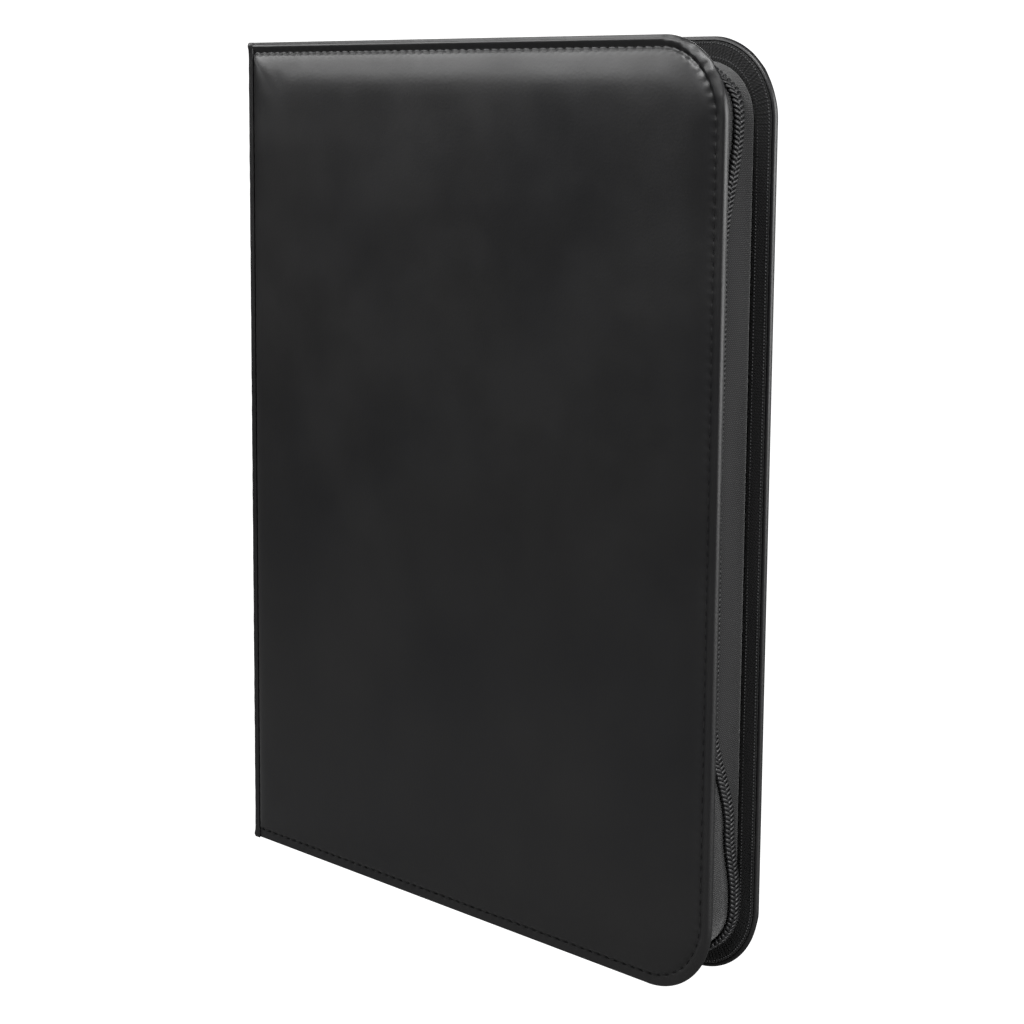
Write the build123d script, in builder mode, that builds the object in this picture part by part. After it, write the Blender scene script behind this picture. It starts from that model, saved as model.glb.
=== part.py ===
"""Zip-up trading card binder, standing on its bottom edges, front cover towards -Y, spine at -X."""
from build123d import *
import os

# Closed binder
HEIGHT = 350
WIDTH = 262
CORNER_R = 30
COVER = 4.9  # lining, board, foam and skin together
GAP = 25.2  # between the inner faces of the two covers

# Layers of a cover, measured outwards from its inner face
LINING = 0.5
BOARD = 1.8
FOAM = 1.7
RIM = 2.4  # turned edge, outside the stitch line
SEAM = 1.9  # stitch line, sunk between the rim and the padding
RIM_BAND = 3.6  # width of the turned edge
PAD_INSET = 4.8  # where the padding starts
SPINE_SEAM = 3.2  # the seam runs this much nearer to the edge along the spine
EDGE_WRAP = 1.6  # skin turned round the edge of the tape and the lining
SKIN = 0.8
PLAY = 0.1
EDGE_ROUND = 0.9
PAD_ROUND = 1.4

# Spine and the two leather folds that it hangs on
SPINE = 2.0
SPINE_LINING = 0.3
FOLD_R = 1.2
SPINE_PLAY = 0.5
PANEL_PLAY = 0.4

# Zipper: woven tape, coil and slider
ZIP_INSET = 9
TAPE = 0.6
TAPE_SPLIT = 1.3  # half the slit between the two tapes
COIL_HALF = 3.1
COIL_SPLIT = 0.15
COIL = 2.0
ZIP_START = 12  # the tapes begin this far from the spine
CHAIN_START = 26.5  # the coils begin this far from the spine
STOP = 1.6
SLIDER_LENGTH = 11
SLIDER_CLEAR = 0.3
SLIDER_PLATE = 1.1
SLIDER_WALL = 1.0
WEDGE = (3.0, 2.0)

# Bail and pull tab
BAIL = 7.0
BAIL_WIDTH = 1.6
BAIL_BAR = 0.9
BAIL_OPEN = 1.8
TAB_PIVOT = 1.7
TAB_BAR = 1.0
TAB_EYE = (5.4, 2.4)
TAB_HEAD = 5.2
TAB_LENGTH = 30
TAB_WIDTH = 7
TAB_RISE = 0.3

# Pocket leaves
LEAVES = 20
LEAF_PITCH = 0.95
LEAF = 0.5
LEAF_HEIGHT = 290
LEAF_REACH = 112  # x of the leaves' free edge
ROOT_FILM = 0.15
ROOT_WIDTH = 8
BINDING = (3.0, 19.0, 296)

# Worked out
SPINE_X = -WIDTH / 2
FORE_X = WIDTH / 2
INNER_Y = GAP / 2
RIM_Y = INNER_Y + RIM
FOLD_X = SPINE_X + FOLD_R
FOLD_Y = RIM_Y - FOLD_R
PANEL_X = SPINE_X + SPINE + PANEL_PLAY
SPINE_HALF = FOLD_Y - SPINE_PLAY
BINDING_X = SPINE_X + SPINE
LEAF_X = BINDING_X + BINDING[0] + 0.4
TAPE_Z = HEIGHT - ZIP_INSET  # outer side of the tape along the top run
SLIDER_X = SPINE_X + CHAIN_START + 1.5
PLATE_Z = TAPE_Z + COIL + SLIDER_CLEAR
BAIL_Z = PLATE_Z + SLIDER_PLATE
TAB_Z = BAIL_Z + TAB_RISE + TAB_BAR / 2


def save(part, name):
    part.label = name
    export_step(part, f"parts/{name}.step")


def panel(inset, depth, spine_inset=None):
    """Cover outline on a plane parallel to the front cover: two square and two rounded corners."""
    left = PANEL_X + (inset if spine_inset is None else spine_inset)
    right = FORE_X - inset
    with BuildSketch(Plane.XZ.offset(INNER_Y + depth)) as face:
        with Locations(((left + right) / 2, HEIGHT / 2)):
            Rectangle(right - left, HEIGHT - 2 * inset)
        fillet(face.vertices().group_by(Axis.X)[-1], CORNER_R - inset)
    return face.sketch


def seam_panel(inset, depth):
    """Outline that follows the seam, which keeps closer to the edge along the spine."""
    return panel(inset, depth, inset - SPINE_SEAM)


def block(x, y, z, mode=Mode.ADD):
    """Box from its low and high limits along each axis."""
    middle = ((x[0] + x[1]) / 2, (y[0] + y[1]) / 2, (z[0] + z[1]) / 2)
    with Locations(middle):
        Box(x[1] - x[0], y[1] - y[0], z[1] - z[0], mode=mode)


def cover_skin():
    """Leatherette shell: padded face, sunk seam and thin turned rim, open on its inner side."""
    with BuildPart() as skin:
        extrude(panel(0, 0), amount=RIM)
        rim_edges = skin.faces().sort_by(Axis.Y)[0].outer_wire().edges()
        fillet(rim_edges.sort_by(Axis.X)[1:], EDGE_ROUND)
        extrude(seam_panel(RIM_BAND, SEAM), amount=RIM - SEAM, mode=Mode.SUBTRACT)
        extrude(seam_panel(PAD_INSET, SEAM), amount=COVER - SEAM)
        fillet(skin.faces().sort_by(Axis.Y)[0].outer_wire().edges(), PAD_ROUND)
        extrude(panel(EDGE_WRAP, 0), amount=LINING, mode=Mode.SUBTRACT)
        pocket = seam_panel(PAD_INSET + SKIN, LINING)
        extrude(pocket, amount=BOARD + FOAM + PLAY, mode=Mode.SUBTRACT)
    return skin.part


def cover_foam():
    with BuildPart() as foam:
        extrude(seam_panel(PAD_INSET + SKIN + PLAY, LINING + BOARD), amount=FOAM)
    return foam.part


def cover_board():
    """Stiff board, inside the stitch line with the foam on it."""
    with BuildPart() as board:
        extrude(seam_panel(PAD_INSET + SKIN + PLAY, LINING), amount=BOARD)
    return board.part


def cover_lining():
    """Thin lining inside the zipper wall; it runs out to the skin along the spine."""
    inset = ZIP_INSET + TAPE + PLAY
    with BuildPart() as lining:
        extrude(panel(inset, 0, EDGE_WRAP + PLAY), amount=LINING)
    return lining.part


def cover_stitching():
    """Perimeter thread, lying in the sunk seam."""
    middle = (RIM_BAND + PAD_INSET) / 2
    half = 0.25
    with BuildPart() as thread:
        extrude(seam_panel(middle - half, SEAM), amount=2 * half)
        extrude(seam_panel(middle + half, SEAM), amount=2 * half, mode=Mode.SUBTRACT)
    return thread.part


def keep_from(distance):
    """Cut away everything nearer to the spine than this, and the part stays a U."""
    block((SPINE_X, SPINE_X + distance), (-HEIGHT, HEIGHT), (-1, HEIGHT + 1), mode=Mode.SUBTRACT)


def zipper_tape():
    """Woven tape: a flange sewn inside the rim, and a wall standing up from it to the coil."""
    wall = INNER_Y - TAPE_SPLIT
    inner = ZIP_INSET + TAPE
    with BuildPart() as tape:
        extrude(panel(EDGE_WRAP + PLAY, 0), amount=LINING)
        extrude(panel(ZIP_INSET, -wall), amount=wall)
        extrude(panel(inner, -wall, 0), amount=wall + LINING, mode=Mode.SUBTRACT)
        keep_from(ZIP_START)
    return tape.part


def zipper_coil():
    """One half of the coil chain, along the edge of the tape."""
    with BuildPart() as coil:
        depth = -INNER_Y + COIL_SPLIT
        extrude(panel(ZIP_INSET - COIL, depth), amount=COIL_HALF - COIL_SPLIT)
        extrude(panel(ZIP_INSET, depth), amount=COIL_HALF - COIL_SPLIT, mode=Mode.SUBTRACT)
        keep_from(CHAIN_START)
    return coil.part


def zipper_top_stop():
    """Metal crimp on one tape, just past the closed end of its coil."""
    low_x = SPINE_X + ZIP_START + 1
    with BuildPart() as stop:
        y = (-COIL_HALF, -TAPE_SPLIT)
        block((low_x, low_x + STOP), y, (TAPE_Z, TAPE_Z + STOP))
    return stop.part


def zipper_end_stop():
    """Crimp that closes the bottom end of the chain, on the back half."""
    low_x = SPINE_X + CHAIN_START - STOP - PLAY
    with BuildPart() as stop:
        y = (COIL_SPLIT, COIL_HALF)
        block((low_x, low_x + STOP), y, (ZIP_INSET - COIL, ZIP_INSET))
    return stop.part


def fold_leather():
    """Leather strip that bends round the corner between the front cover and the spine."""
    outer = FOLD_R
    inner = FOLD_R - SKIN
    with BuildPart() as fold:
        with BuildSketch():
            with BuildLine():
                run = Line((PANEL_X, -RIM_Y), (FOLD_X, -RIM_Y))
                bend = RadiusArc(run @ 1, (SPINE_X, -FOLD_Y), outer)
                side = Line(bend @ 1, (SPINE_X, -SPINE_HALF))
                end = Line(side @ 1, (SPINE_X + SKIN, -SPINE_HALF))
                back = Line(end @ 1, (SPINE_X + SKIN, -FOLD_Y))
                inside = RadiusArc(back @ 1, (FOLD_X, -FOLD_Y - inner), -inner)
                Line(inside @ 1, (PANEL_X, -RIM_Y + SKIN))
                Line((PANEL_X, -RIM_Y + SKIN), run @ 0)
            make_face()
        extrude(amount=HEIGHT)
    return fold.part


def spine_skin():
    """Leatherette on the spine, turned over the board at the top and the bottom."""
    with BuildPart() as skin:
        block((SPINE_X, SPINE_X + SPINE), (-SPINE_HALF, SPINE_HALF), (0, HEIGHT))
        cavity_x = (SPINE_X + SKIN, SPINE_X + SPINE)
        cavity_z = (EDGE_WRAP, HEIGHT - EDGE_WRAP)
        block(cavity_x, (-SPINE_HALF, SPINE_HALF), cavity_z, mode=Mode.SUBTRACT)
    return skin.part


def spine_board():
    z = (EDGE_WRAP + PLAY, HEIGHT - EDGE_WRAP - PLAY)
    with BuildPart() as board:
        block((SPINE_X + SKIN, SPINE_X + SPINE - SPINE_LINING), (-SPINE_HALF, SPINE_HALF), z)
    return board.part


def spine_lining():
    z = (EDGE_WRAP + PLAY, HEIGHT - EDGE_WRAP - PLAY)
    with BuildPart() as lining:
        block((SPINE_X + SPINE - SPINE_LINING, SPINE_X + SPINE), (-SPINE_HALF, SPINE_HALF), z)
    return lining.part


def binding_strip():
    """Plastic bar inside the spine that the leaves are welded to."""
    depth, width, height = BINDING
    z = ((HEIGHT - height) / 2, (HEIGHT + height) / 2)
    with BuildPart() as strip:
        block((BINDING_X, BINDING_X + depth), (-width / 2, width / 2), z)
        fillet(strip.edges().filter_by(Axis.Z).group_by(Axis.X)[-1], 0.6)
    return strip.part


def leaf(y):
    """Pocket page: a thin film at the binding, and three rows of pockets beyond it."""
    z = ((HEIGHT - LEAF_HEIGHT) / 2, (HEIGHT + LEAF_HEIGHT) / 2)
    with BuildPart() as page:
        block((LEAF_X, LEAF_X + ROOT_WIDTH), (y - ROOT_FILM / 2, y + ROOT_FILM / 2), z)
        block((LEAF_X + ROOT_WIDTH, LEAF_REACH), (y - LEAF / 2, y + LEAF / 2), z)
    return page.part


def slider_body():
    """Two plates joined by a wedge, with side walls that hold the coils in."""
    half_x = SLIDER_LENGTH / 2
    half_y = COIL_HALF + SLIDER_CLEAR + SLIDER_WALL
    tape_low = TAPE_Z - TAPE - SLIDER_CLEAR
    tape_high = TAPE_Z + SLIDER_CLEAR
    x = (SLIDER_X - half_x, SLIDER_X + half_x)
    wedge_length, wedge_width = WEDGE
    with BuildPart() as body:
        block(x, (-half_y, half_y), (tape_low - SLIDER_WALL, tape_low))
        block(x, (-half_y, half_y), (PLATE_Z, PLATE_Z + SLIDER_PLATE))
        for side in (-1, 1):
            wall_y = sorted((side * (half_y - SLIDER_WALL), side * half_y))
            block(x, wall_y, (tape_high, PLATE_Z))
        wedge_x = (x[0] + 0.3, x[0] + 0.3 + wedge_length)
        block(wedge_x, (-wedge_width / 2, wedge_width / 2), (tape_low, PLATE_Z))
        upright = body.edges().filter_by(Axis.Z)
        fillet(upright.filter_by(lambda edge: abs(edge.center().Y) > half_y - PLAY), 0.8)
    return body.part


def slider_bail():
    """Low arch on the slider that the pull tab hangs from."""
    half = BAIL / 2
    top = BAIL_Z + BAIL_OPEN + BAIL_BAR
    with BuildPart() as bail:
        block((SLIDER_X - half, SLIDER_X + half), (-BAIL_WIDTH / 2, BAIL_WIDTH / 2), (BAIL_Z, top))
        arch_x = (SLIDER_X - half + BAIL_BAR, SLIDER_X + half - BAIL_BAR)
        block(arch_x, (-BAIL_WIDTH, BAIL_WIDTH), (BAIL_Z, top - BAIL_BAR), mode=Mode.SUBTRACT)
        fillet(bail.edges().filter_by(Axis.Y).group_by(Axis.Z)[-1], 0.7)
    return bail.part


def pull_tab():
    """Flat pull: a cross bar inside the bail, an eye round it, and a plain rounded tongue."""
    pivot = SLIDER_X + TAB_PIVOT
    eye_length, eye_width = TAB_EYE
    start = pivot - TAB_BAR / 2
    head_end = start + TAB_BAR + eye_length + 1.2
    with BuildPart() as tab:
        with BuildSketch(Plane.XY.offset(TAB_Z - TAB_BAR / 2)):
            with Locations(((start + head_end) / 2, 0)):
                RectangleRounded(head_end - start, TAB_HEAD, 0.8)
            with Locations(((head_end + pivot + TAB_LENGTH) / 2 - 0.5, 0)):
                RectangleRounded(pivot + TAB_LENGTH - head_end + 1, TAB_WIDTH, 2.5)
            with Locations((start + TAB_BAR + eye_length / 2, 0)):
                Rectangle(eye_length, eye_width, mode=Mode.SUBTRACT)
        extrude(amount=TAB_BAR)
    return tab.part


def back(part):
    """The same piece on the back cover."""
    with BuildPart() as mirrored:
        mirror(part, about=Plane.XZ)
    return mirrored.part


def main():
    os.makedirs("parts", exist_ok=True)
    front_pieces = {
        "cover_skin": cover_skin(),
        "cover_foam": cover_foam(),
        "cover_board": cover_board(),
        "cover_lining": cover_lining(),
        "cover_stitching": cover_stitching(),
        "zipper_tape": zipper_tape(),
        "zipper_coil": zipper_coil(),
        "zipper_top_stop": zipper_top_stop(),
        "fold_skin": fold_leather(),
    }
    for name, part in front_pieces.items():
        save(part, f"front_{name}")
        save(back(part), f"back_{name}")
    save(zipper_end_stop(), "zipper_end_stop")
    save(spine_skin(), "spine_skin")
    save(spine_board(), "spine_board")
    save(spine_lining(), "spine_lining")
    save(binding_strip(), "binding_strip")
    save(slider_body(), "slider_body")
    save(slider_bail(), "slider_bail")
    save(pull_tab(), "pull_tab")
    for number in range(LEAVES):
        y = (number - (LEAVES - 1) / 2) * LEAF_PITCH
        save(leaf(y), f"leaf_{number + 1:02d}")


main()
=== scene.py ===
"""Zip-up trading card binder: leather, thread, zipper, pages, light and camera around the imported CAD."""
import math
import random

import bmesh
import bpy
import numpy as np
from mathutils import Matrix, Vector

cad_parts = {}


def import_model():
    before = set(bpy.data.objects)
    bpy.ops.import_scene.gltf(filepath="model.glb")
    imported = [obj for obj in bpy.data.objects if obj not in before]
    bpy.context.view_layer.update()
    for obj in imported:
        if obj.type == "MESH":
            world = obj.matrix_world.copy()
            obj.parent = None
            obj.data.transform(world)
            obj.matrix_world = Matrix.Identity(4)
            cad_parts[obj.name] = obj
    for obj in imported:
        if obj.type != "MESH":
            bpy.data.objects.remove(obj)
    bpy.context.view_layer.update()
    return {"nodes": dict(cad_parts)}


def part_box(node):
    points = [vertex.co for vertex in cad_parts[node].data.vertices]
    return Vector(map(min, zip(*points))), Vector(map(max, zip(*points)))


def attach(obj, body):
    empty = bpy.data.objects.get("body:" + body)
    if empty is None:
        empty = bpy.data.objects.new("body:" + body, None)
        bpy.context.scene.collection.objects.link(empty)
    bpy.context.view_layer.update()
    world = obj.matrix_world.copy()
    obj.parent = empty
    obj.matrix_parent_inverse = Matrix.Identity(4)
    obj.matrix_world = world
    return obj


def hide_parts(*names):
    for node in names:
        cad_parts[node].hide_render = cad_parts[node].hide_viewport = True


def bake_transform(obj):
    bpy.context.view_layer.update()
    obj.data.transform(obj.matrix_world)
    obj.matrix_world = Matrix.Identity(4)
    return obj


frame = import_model()

MM = 0.001

# -------------------- sizes, in millimetres, from the frame


def box_mm(node):
    low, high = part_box(node)
    return np.array(low) / MM, np.array(high) / MM


SKIN_LOW, SKIN_HIGH = box_mm("front_cover_skin")
LINING_LOW, LINING_HIGH = box_mm("front_cover_lining")
SPINE_LOW, SPINE_HIGH = box_mm("spine_skin")

HEIGHT = SKIN_HIGH[2]
PANEL_X = SKIN_LOW[0]
FORE_X = SKIN_HIGH[0]
SPINE_X = SPINE_LOW[0]
INNER_Y = -SKIN_HIGH[1]
CORNER_R = 30.0
ZIP_INSET = 9.0
SEAM_INSET = 4.2
SPINE_SEAM = 3.2
RIM = 2.4
RIM_Y = INNER_Y + RIM
STITCH_PITCH = 4.3
STITCH_SHARE = 0.40
STITCH_SKEW = 0.12
STITCH_DIVE = 0.4
THREAD_R = 0.27
THREAD_SINK = 0.18
FORE_SEAM_SHIFT = 0.8
TEETH_PITCH = 1.75
WIRE_WIDE = 0.62
COIL_SLANT = 0.32
WIRE_TALL = 0.36

# -------------------- mesh helpers


def add_mesh(name, points, faces, material, smooth=True, uvs=None):
    """Mesh object from points in millimetres; uvs holds one pair for each point."""
    mesh = bpy.data.meshes.new(name)
    mesh.from_pydata((np.asarray(points, float) * MM).tolist(), [], faces)
    if uvs is not None:
        layer = mesh.uv_layers.new(name="along")
        corner_points = np.zeros(len(mesh.loops), np.int32)
        mesh.loops.foreach_get("vertex_index", corner_points)
        layer.data.foreach_set("uv", np.asarray(uvs, np.float32)[corner_points].ravel())
    if smooth:
        mesh.polygons.foreach_set("use_smooth", [True] * len(mesh.polygons))
    mesh.materials.append(material)
    mesh.update()
    piece = bpy.data.objects.new(name, mesh)
    bpy.context.scene.collection.objects.link(piece)
    return piece


def grid_faces(rows, columns, close_columns=False, first=0):
    """Quads between neighbouring rows and columns of a grid of points."""
    faces = []
    for i in range(rows - 1):
        for j in range(columns if close_columns else columns - 1):
            a = i * columns + j
            b = i * columns + (j + 1) % columns
            faces.append((first + a, first + b, first + b + columns, first + a + columns))
    return faces


def smoothstep(x, low, high):
    t = np.clip((x - low) / (high - low), 0, 1)
    return t * t * (3 - 2 * t)


def finish_normals(piece):
    """Turn every face of a closed piece outwards."""
    work = bmesh.new()
    work.from_mesh(piece.data)
    bmesh.ops.recalc_face_normals(work, faces=work.faces)
    work.to_mesh(piece.data)
    work.free()


def end_caps(rows, columns, first=0):
    """The two faces that close the ends of a tube of rows of points."""
    last = first + (rows - 1) * columns
    return [tuple(range(first, first + columns)), tuple(range(last, last + columns))]


def closed_piece(name, points, faces, material, uvs=None):
    piece = add_mesh(name, points, faces, material, uvs=uvs)
    finish_normals(piece)
    return piece


def loft(name, sections, material, uvs=None):
    """Closed skin through cross-sections that have the same number of points."""
    count = len(sections[0])
    faces = grid_faces(len(sections), count, close_columns=True) + end_caps(len(sections), count)
    return closed_piece(name, np.vstack(sections), faces, material, uvs)


# -------------------- materials

LEATHER_COLOR = (0.0056, 0.0056, 0.0062)
LEATHER_WARM = (0.0078, 0.0076, 0.0078)


def node_material(name, color, roughness):
    material = bpy.data.materials.new(name)
    material.use_nodes = True
    shader = material.node_tree.nodes["Principled BSDF"]
    shader.inputs["Base Color"].default_value = (*color, 1)
    shader.inputs["Roughness"].default_value = roughness
    return material, material.node_tree, shader


def noise(tree, scale, detail=4.0, coords="Object", stretch=None):
    """Noise texture in object or UV space, optionally stretched along the axes."""
    texture = tree.nodes.new("ShaderNodeTexNoise")
    texture.inputs["Scale"].default_value = scale
    texture.inputs["Detail"].default_value = detail
    coordinates = tree.nodes.new("ShaderNodeTexCoord").outputs[coords]
    if stretch:
        mapping = tree.nodes.new("ShaderNodeMapping")
        mapping.inputs["Scale"].default_value = stretch
        tree.links.new(coordinates, mapping.inputs["Vector"])
        coordinates = mapping.outputs["Vector"]
    tree.links.new(coordinates, texture.inputs["Vector"])
    return texture.outputs["Fac"]


def ramp(tree, value, low, high, positions=(0.35, 0.65)):
    """Colour ramp from low to high, or grey levels when they are numbers."""
    node = tree.nodes.new("ShaderNodeValToRGB")
    ends = [c if isinstance(c, tuple) else (c, c, c) for c in (low, high)]
    for element, position, color in zip(node.color_ramp.elements, positions, ends):
        element.position = position
        element.color = (*color, 1)
    tree.links.new(value, node.inputs["Fac"])
    return node.outputs["Color"]


def bump(tree, height, strength, distance, below=None):
    node = tree.nodes.new("ShaderNodeBump")
    node.inputs["Strength"].default_value = strength
    node.inputs["Distance"].default_value = distance
    tree.links.new(height, node.inputs["Height"])
    if below is not None:
        tree.links.new(below, node.inputs["Normal"])
    return node.outputs["Normal"]


def leatherette():
    """Smooth black polyurethane leather: pebbled grain, pores, faint smears in the gloss."""
    material, tree, shader = node_material("leatherette", LEATHER_COLOR, 0.42)
    shader.inputs["Specular IOR Level"].default_value = 0.45
    cloud = noise(tree, 14.0, 3.0)
    tint = ramp(tree, cloud, LEATHER_COLOR, LEATHER_WARM)
    tree.links.new(tint, shader.inputs["Base Color"])
    gloss = ramp(tree, noise(tree, 26.0, 5.0), 0.34, 0.42)
    tree.links.new(gloss, shader.inputs["Roughness"])
    grain = tree.nodes.new("ShaderNodeTexVoronoi")
    grain.feature = "SMOOTH_F1"
    grain.inputs["Scale"].default_value = 1100.0
    tree.links.new(tree.nodes.new("ShaderNodeTexCoord").outputs["Object"], grain.inputs["Vector"])
    coarse = bump(tree, grain.outputs["Distance"], 0.16, 0.00012)
    fine = bump(tree, noise(tree, 2600.0, 2.0), 0.10, 0.00008, coarse)
    sway = bump(tree, noise(tree, 45.0, 2.0), 0.25, 0.0004, fine)
    tree.links.new(sway, shader.inputs["Normal"])
    return material


def thread_material():
    material, tree, shader = node_material("thread", (0.004, 0.004, 0.004), 0.7)
    shader.inputs["Specular IOR Level"].default_value = 0.15
    strands = tree.nodes.new("ShaderNodeTexWave")
    strands.wave_type = "BANDS"
    strands.bands_direction = "DIAGONAL"
    strands.inputs["Scale"].default_value = 900.0
    tree.links.new(tree.nodes.new("ShaderNodeTexCoord").outputs["Object"], strands.inputs["Vector"])
    tree.links.new(bump(tree, strands.outputs["Fac"], 0.5, 0.0002), shader.inputs["Normal"])
    fleck = ramp(tree, noise(tree, 900.0), (0.0025, 0.0025, 0.003), (0.006, 0.006, 0.0064))
    tree.links.new(fleck, shader.inputs["Base Color"])
    return material


def wave(tree, scale, direction, distortion=0.0):
    """Regular bands across the UV map, whose unit is a metre along the tape."""
    node = tree.nodes.new("ShaderNodeTexWave")
    node.wave_type = "BANDS"
    node.bands_direction = direction
    node.inputs["Scale"].default_value = scale
    node.inputs["Distortion"].default_value = distortion
    node.inputs["Detail"].default_value = 1.0
    tree.links.new(tree.nodes.new("ShaderNodeTexCoord").outputs["UV"], node.inputs["Vector"])
    return node.outputs["Fac"]


def mix(tree, a, b, kind="MULTIPLY", factor=1.0):
    node = tree.nodes.new("ShaderNodeMix")
    node.data_type = "RGBA"
    node.blend_type = kind
    node.inputs["Factor"].default_value = factor
    tree.links.new(a, node.inputs[6])
    tree.links.new(b, node.inputs[7])
    return node.outputs[2]


def woven(name, dark, light, rib, sheen):
    """Twill-woven nylon: ribs across the tape, crossed by a finer weft, with lint and faded patches."""
    material, tree, shader = node_material(name, dark, 0.82)
    shader.inputs["Sheen Weight"].default_value = sheen
    shader.inputs["Sheen Roughness"].default_value = 0.5
    shader.inputs["Specular IOR Level"].default_value = 0.25
    warp = wave(tree, rib, "X")
    weft = wave(tree, rib * 1.6, "DIAGONAL", 0.4)
    weave = mix(tree, warp, weft)
    patch = noise(tree, 90.0, 4.0)
    color = ramp(tree, mix(tree, weave, patch, "OVERLAY", 0.6), dark, light, (0.1, 0.8))
    tree.links.new(color, shader.inputs["Base Color"])
    tree.links.new(bump(tree, weave, 0.7, 0.0003), shader.inputs["Normal"])
    return material


def cloth_by_object(name, dark, light):
    """Plain woven lining on a CAD plate: two crossed thread systems in object space."""
    material, tree, shader = node_material(name, dark, 0.85)
    shader.inputs["Sheen Weight"].default_value = 0.3
    threads = []
    for direction in ("X", "Z"):
        node = tree.nodes.new("ShaderNodeTexWave")
        node.bands_direction = direction
        node.inputs["Scale"].default_value = 480.0
        node.inputs["Distortion"].default_value = 0.3
        source = tree.nodes.new("ShaderNodeTexCoord").outputs["Object"]
        tree.links.new(source, node.inputs["Vector"])
        threads.append(node.outputs["Fac"])
    weave = mix(tree, threads[0], threads[1])
    color = ramp(tree, mix(tree, weave, noise(tree, 60.0), "OVERLAY", 0.7), dark, light, (0.1, 0.8))
    tree.links.new(color, shader.inputs["Base Color"])
    tree.links.new(bump(tree, weave, 0.6, 0.0003), shader.inputs["Normal"])
    return material


def coil_material():
    material, tree, shader = node_material("coil_nylon", (0.012, 0.012, 0.013), 0.3)
    tree.links.new(ramp(tree, noise(tree, 700.0), 0.34, 0.5), shader.inputs["Roughness"])
    shader.inputs["Specular IOR Level"].default_value = 0.5
    tint = ramp(tree, noise(tree, 300.0), (0.010, 0.010, 0.0105), (0.019, 0.019, 0.020))
    tree.links.new(tint, shader.inputs["Base Color"])
    return material


def metal_material():
    """Black enamel on a die-cast slider, with brass showing faintly through the wear."""
    material, tree, shader = node_material("black_enamel", (0.015, 0.015, 0.016), 0.3)
    shader.inputs["Coat Weight"].default_value = 0.4
    wear = ramp(tree, noise(tree, 420.0, 8.0), (0.012, 0.012, 0.013), (0.07, 0.06, 0.05), (0.6, 0.72))
    tree.links.new(wear, shader.inputs["Base Color"])
    tree.links.new(ramp(tree, noise(tree, 500.0), 0.22, 0.4), shader.inputs["Roughness"])
    tree.links.new(bump(tree, noise(tree, 1500.0), 0.15, 0.0001), shader.inputs["Normal"])
    return material


def plastic_material(name, color, roughness, grain=900.0):
    material, tree, shader = node_material(name, color, roughness)
    lighter = tuple(min(1.0, c * 1.5 + 0.004) for c in color)
    tree.links.new(ramp(tree, noise(tree, 120.0), color, lighter), shader.inputs["Base Color"])
    tree.links.new(bump(tree, noise(tree, grain), 0.2, 0.0002), shader.inputs["Normal"])
    return material


def film_material():
    """Clear pocket film: thin, glossy, slightly milky, with faint ripples."""
    material, tree, shader = node_material("pocket_film", (0.75, 0.77, 0.80), 0.12)
    shader.inputs["Alpha"].default_value = 0.22
    shader.inputs["IOR"].default_value = 1.5
    tree.links.new(ramp(tree, noise(tree, 35.0), 0.06, 0.20), shader.inputs["Roughness"])
    tree.links.new(bump(tree, noise(tree, 18.0, 2.0), 0.35, 0.002), shader.inputs["Normal"])
    return material


def board_material():
    material, tree, shader = node_material("grey_board", (0.42, 0.39, 0.33), 0.9)
    fibres = ramp(tree, noise(tree, 400.0, 8.0, stretch=(1, 1, 0.2)), (0.34, 0.31, 0.26), (0.47, 0.44, 0.38))
    tree.links.new(fibres, shader.inputs["Base Color"])
    tree.links.new(bump(tree, noise(tree, 900.0), 0.3, 0.0002), shader.inputs["Normal"])
    return material


# -------------------- the panel outline and its height


def outline_points(inset, spine_inset, step):
    """Panel outline, anticlockwise from the low spine corner, with the same count at every inset."""
    left, right = PANEL_X + spine_inset, FORE_X - inset
    low, high = inset, HEIGHT - inset
    radius = max(CORNER_R - inset, 0.5)
    run = FORE_X - CORNER_R - PANEL_X
    rise = HEIGHT - 2 * CORNER_R
    along = int(round(run / step))
    up = int(round(rise / step))
    arc = int(round(CORNER_R * math.pi / 2 / step))
    down = int(round(HEIGHT / step))
    corner_x = right - radius
    points = [(x, low) for x in np.linspace(left, corner_x, along, endpoint=False)]
    for turn in np.linspace(-math.pi / 2, 0, arc, endpoint=False):
        points.append((corner_x + radius * math.cos(turn), low + radius + radius * math.sin(turn)))
    points += [(right, z) for z in np.linspace(low + radius, high - radius, up, endpoint=False)]
    for turn in np.linspace(0, math.pi / 2, arc, endpoint=False):
        points.append((corner_x + radius * math.cos(turn), high - radius + radius * math.sin(turn)))
    points += [(x, high) for x in np.linspace(corner_x, left, along, endpoint=False)]
    points += [(left, z) for z in np.linspace(high, low, down, endpoint=False)]
    return np.array(points)


def edge_distance(x, z):
    """Distance in from the three free edges, and from the spine edge counted as seam distance."""
    top = np.minimum(HEIGHT - z, z)
    fore = FORE_X - x
    in_corner = (top < CORNER_R) & (fore < CORNER_R)
    round_corner = CORNER_R - np.hypot(CORNER_R - top, CORNER_R - fore)
    free = np.where(in_corner, round_corner, np.minimum(top, fore))
    return free, x - PANEL_X + SPINE_SEAM


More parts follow.
